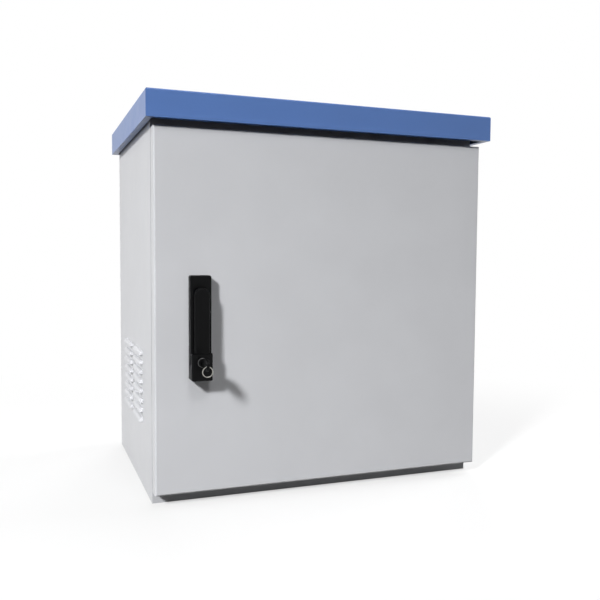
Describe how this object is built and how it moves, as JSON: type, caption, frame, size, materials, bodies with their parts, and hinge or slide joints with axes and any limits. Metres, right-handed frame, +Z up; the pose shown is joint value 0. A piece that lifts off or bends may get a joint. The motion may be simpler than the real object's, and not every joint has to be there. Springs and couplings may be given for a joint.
{
  "type": "roadside utility cabinet",
  "caption": "Grey sheet-steel outdoor cabinet with a blue rain hood, side louvres, a hinged door with swing handle and key lock, and a rack inside",
  "frame": {"origin": "middle of the body's footprint, on the ground, at the centre of the anchor hole pattern", "axes": "+X to the right as seen from the front, -Y is the door side, +Z up"},
  "size_m": [0.6274, 0.5193, 0.667],
  "materials": {
    "grey_paint": "light grey gloss powder coat",
    "blue_paint": "blue gloss powder coat",
    "zinc_steel": "zinc plated",
    "black_handle": "die-cast, black satin coat",
    "black_rubber": "foam rubber",
    "bright_nickel": "nickel plated",
    "earth_brass": "plain"
  },
  "bodies": {
    "cabinet": {"base_tray": "grey_paint", "left_side_panel": "grey_paint", "right_side_panel": "grey_paint", "front_frame": "grey_paint", "rear_frame": "grey_paint", "top_panel": "grey_paint", "rear_panel": "grey_paint", "rear_panel_screws": "zinc_steel", "roof_hood": "blue_paint", "hood_spacers": "zinc_steel", "hood_bolts": "zinc_steel", "gland_plate": "zinc_steel", "gland_gasket": "black_rubber", "gland_screws": "zinc_steel", "rail_front_left": "zinc_steel", "rail_front_right": "zinc_steel", "rail_rear_left": "zinc_steel", "rail_rear_right": "zinc_steel", "depth_bar_lower_left": "zinc_steel", "depth_bar_lower_right": "zinc_steel", "depth_bar_upper_left": "zinc_steel", "depth_bar_upper_right": "zinc_steel", "rail_bolts": "zinc_steel", "earth_stud": "earth_brass", "earth_nut": "earth_brass", "upper_hinge_bracket": "zinc_steel", "lower_hinge_bracket": "zinc_steel", "hinge_screws": "zinc_steel"},
    "door": {"door_skin": "grey_paint", "door_stiffener_left": "zinc_steel", "door_stiffener_right": "zinc_steel", "door_seal": "black_rubber", "upper_hinge_leaf": "zinc_steel", "lower_hinge_leaf": "zinc_steel", "hinge_pins": "zinc_steel", "handle_housing": "black_handle", "handle_gasket": "black_rubber", "handle_clamp": "zinc_steel", "clamp_screws": "zinc_steel", "lock_barrel": "black_handle"},
    "handle_turner": {"handle_hub": "zinc_steel", "hub_clip": "zinc_steel", "cam": "zinc_steel", "cam_washer": "zinc_steel", "cam_screw": "zinc_steel"},
    "lever_arm": {"lever": "black_handle", "lever_pin": "zinc_steel"},
    "lock_core": {"lock_plug": "black_handle", "key": "black_handle"},
    "key_loop": {"key_ring": "bright_nickel"}
  },
  "joints": [
    {"name": "door_swing", "type": "hinge", "parent": "cabinet", "child": "door", "pos_m": [0.292, -0.219, 0.3175], "axis": [0, 0, 1], "range_deg": [0, 115]},
    {"name": "handle_turn", "type": "hinge", "parent": "door", "child": "handle_turner", "pos_m": [-0.228, -0.2493, 0.346], "axis": [0, -1, 0], "range_deg": [0, 90]},
    {"name": "lever_lift", "type": "hinge", "parent": "handle_turner", "child": "lever_arm", "pos_m": [-0.228, -0.2548, 0.3535], "axis": [-1, 0, 0], "range_deg": [0, 30]},
    {"name": "key_turn", "type": "hinge", "parent": "door", "child": "lock_core", "pos_m": [-0.228, -0.2613, 0.239], "axis": [0, -1, 0], "range_deg": [0, 90]},
    {"name": "ring_swing", "type": "hinge", "parent": "lock_core", "child": "key_loop", "pos_m": [-0.228, -0.2948, 0.2373], "axis": [-1, 0, 0], "range_deg": [-40, 80]}
  ]
}
